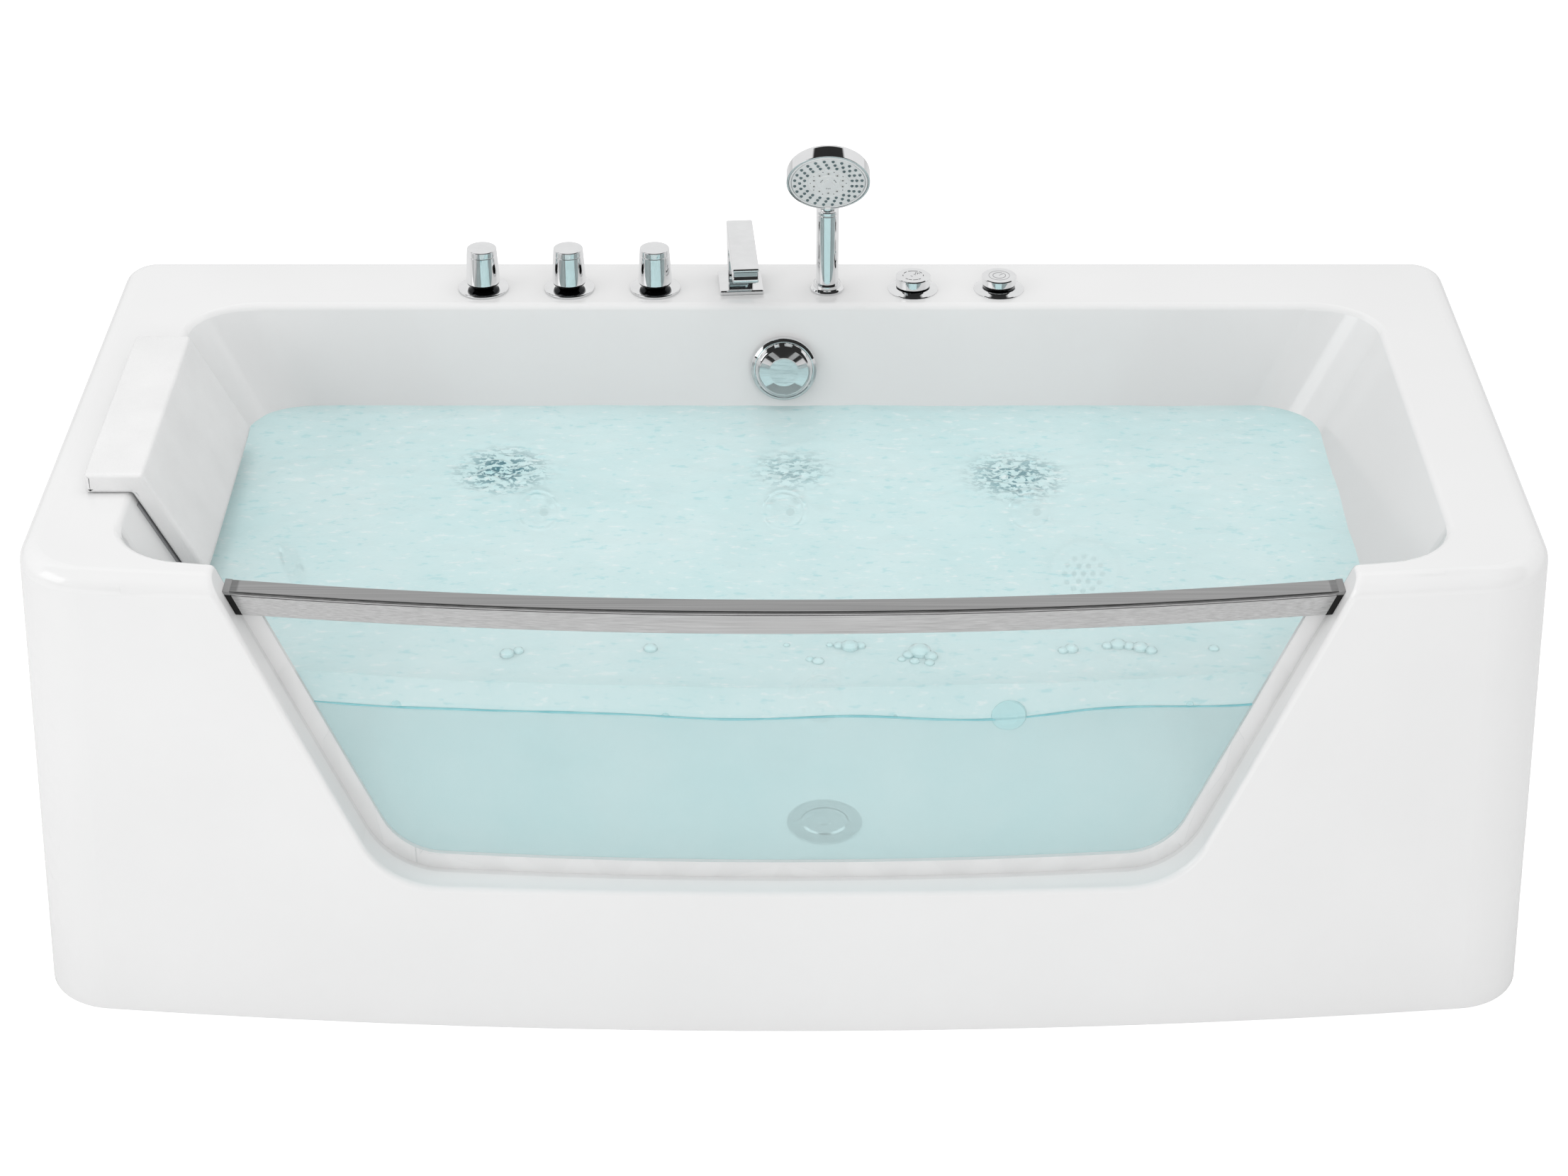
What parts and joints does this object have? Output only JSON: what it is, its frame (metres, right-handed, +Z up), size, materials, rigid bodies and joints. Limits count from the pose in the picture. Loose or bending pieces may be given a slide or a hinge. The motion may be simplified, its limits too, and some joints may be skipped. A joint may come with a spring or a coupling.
{
  "type": "jetted bathtub",
  "caption": "Free-standing jetted bathtub with a bowed front, curved glass window, steel rail, headrest, deck taps, waterfall spout, hand shower and wall jets.",
  "frame": {"origin": "on the floor, under the middle of the tub's outline", "axes": "+X to the right along the tub, +Y to the back where the fittings are, +Z up"},
  "size_m": [1.7, 0.8298, 0.782],
  "materials": {
    "acrylic": "gloss",
    "board": "raw",
    "frame_steel": "zinc",
    "plated_steel": "zinc plated",
    "safety_glass": "clear",
    "brushed_steel": "brushed along its length",
    "cap_grey": "satin",
    "black_rubber": "matt",
    "cushion_skin": "soft white skin",
    "backing_grey": "matt",
    "chrome": "polished",
    "chrome_plastic": "chrome plated",
    "spray_grey": "satin",
    "brass": "machined",
    "copper": "drawn copper",
    "grey_pvc": "satin",
    "white_pvc": "satin",
    "clear_grey": "satin",
    "black_plastic": "satin",
    "motor_paint": "painted",
    "steel_shaft": "plastic impeller on a steel shaft",
    "black_paint": "satin",
    "box_grey": "satin"
  },
  "bodies": {
    "tub": {"tub_shell": "acrylic", "skirt": "acrylic", "base_board": "board", "support_frame": "frame_steel", "levelling_feet": "plated_steel", "foot_lock_nuts": "plated_steel", "window_glass": "safety_glass", "top_rail": "brushed_steel", "rail_end_caps": "cap_grey", "rail_end_seals": "black_rubber", "headrest_cushion": "cushion_skin", "headrest_backing": "backing_grey", "tap_rosettes": "chrome", "hot_valve_body": "brass", "cold_valve_body": "brass", "diverter_body": "brass", "deck_lock_nuts": "brass", "mixing_pipe": "copper", "spout_pipe": "copper", "spout_base_plate": "chrome", "waterfall_spout": "chrome", "shower_holder": "chrome", "control_flanges": "chrome", "air_valve_body": "grey_pvc", "button_bellows": "black_rubber", "overflow_body": "grey_pvc", "drain_flange": "chrome", "waste_trap": "white_pvc", "overflow_pipe": "white_pvc", "waste_outlet": "white_pvc", "jet_bodies": "white_pvc", "jet_rings": "chrome", "suction_fitting": "white_pvc", "suction_grille": "chrome", "suction_pipe": "white_pvc", "water_manifold": "white_pvc", "air_manifold": "clear_grey", "pump_housing": "black_plastic", "pump_motor": "motor_paint", "fan_cover": "black_paint", "pump_base": "black_plastic", "control_box": "box_grey"},
    "hot_tap": {"hot_tap_knob": "chrome"},
    "cold_tap": {"cold_tap_knob": "chrome"},
    "diverter": {"diverter_knob": "chrome"},
    "shower_swivel": {"shower_sleeve": "chrome"},
    "handset": {"handset_body": "chrome_plastic", "spray_face": "spray_grey"},
    "selector": {"spray_selector": "chrome_plastic"},
    "air_knob": {"air_control_knob": "chrome"},
    "button": {"power_button": "chrome"},
    "overflow": {"overflow_knob": "chrome"},
    "plug": {"drain_plug": "chrome"},
    "rotor": {"pump_impeller": "steel_shaft", "cooling_fan": "black_plastic"},
    "nozzle_1": {"jet_nozzle_1": "chrome"},
    "nozzle_2": {"jet_nozzle_2": "chrome"},
    "nozzle_3": {"jet_nozzle_3": "chrome"},
    "nozzle_4": {"jet_nozzle_4": "chrome"},
    "nozzle_5": {"jet_nozzle_5": "chrome"}
  },
  "joints": [
    {"name": "hot_tap_turn", "type": "hinge", "parent": "tub", "child": "hot_tap", "pos_m": [-0.3719, 0.328, 0.568], "axis": [0, 0, 1], "range_deg": [0, 90]},
    {"name": "cold_tap_turn", "type": "hinge", "parent": "tub", "child": "cold_tap", "pos_m": [-0.2656, 0.328, 0.568], "axis": [0, 0, 1], "range_deg": [0, 90]},
    {"name": "diverter_turn", "type": "hinge", "parent": "tub", "child": "diverter", "pos_m": [-0.1593, 0.328, 0.568], "axis": [0, 0, 1], "range_deg": [0, 90]},
    {"name": "shower_swivel_turn", "type": "hinge", "parent": "tub", "child": "shower_swivel", "pos_m": [0.0533, 0.328, 0.568], "axis": [0, 0, 1], "range_deg": [-90, 90]},
    {"name": "handset_lift", "type": "slide", "parent": "shower_swivel", "child": "handset", "axis": [0, 0, 1], "range_m": [0, 0.3]},
    {"name": "selector_turn", "type": "hinge", "parent": "handset", "child": "selector", "pos_m": [0.0533, 0.291, 0.727], "axis": [0, -0.8934, -0.4493], "range_deg": [-30, 30]},
    {"name": "air_control_turn", "type": "hinge", "parent": "tub", "child": "air_knob", "pos_m": [0.1596, 0.328, 0.568], "axis": [0, 0, 1], "range_deg": [0, 180]},
    {"name": "power_button_press", "type": "slide", "parent": "tub", "child": "button", "axis": [0, 0, -1], "range_m": [0, 0.004], "stiffness_N_per_m": 600, "springref_m": -0.004},
    {"name": "overflow_turn", "type": "hinge", "parent": "tub", "child": "overflow", "pos_m": [0, 0.27196, 0.489], "axis": [0, -0.9904, 0.1384], "range_deg": [0, 90]},
    {"name": "drain_plug_lift", "type": "slide", "parent": "tub", "child": "plug", "axis": [0, 0, 1], "range_m": [0, 0.009]},
    {"name": "jet_1_turn", "type": "hinge", "parent": "tub", "child": "nozzle_1", "pos_m": [-0.31, 0.24555, 0.3], "axis": [0, -0.9904, 0.1384], "range_deg": [0, 90]},
    {"name": "jet_2_turn", "type": "hinge", "parent": "tub", "child": "nozzle_2", "pos_m": [0, 0.24555, 0.3], "axis": [0, -0.9904, 0.1384], "range_deg": [0, 90]},
    {"name": "jet_3_turn", "type": "hinge", "parent": "tub", "child": "nozzle_3", "pos_m": [0.31, 0.24555, 0.3], "axis": [0, -0.9904, 0.1384], "range_deg": [0, 90]},
    {"name": "jet_4_turn", "type": "hinge", "parent": "tub", "child": "nozzle_4", "pos_m": [-0.59727, -0.11, 0.31853], "axis": [0.8944, 0, 0.4472], "range_deg": [0, 90]},
    {"name": "jet_5_turn", "type": "hinge", "parent": "tub", "child": "nozzle_5", "pos_m": [-0.59727, 0.08, 0.31853], "axis": [0.8944, 0, 0.4472], "range_deg": [0, 90]},
    {"name": "pump_turn", "type": "hinge", "parent": "tub", "child": "rotor", "pos_m": [0.69, 0, 0.18], "axis": [0, 1, 0], "continuous": true}
  ],
  "couplings": [
    {"joint": "drain_plug_lift", "follows": "overflow_turn", "m_per_rad": 0.00572}
  ]
}
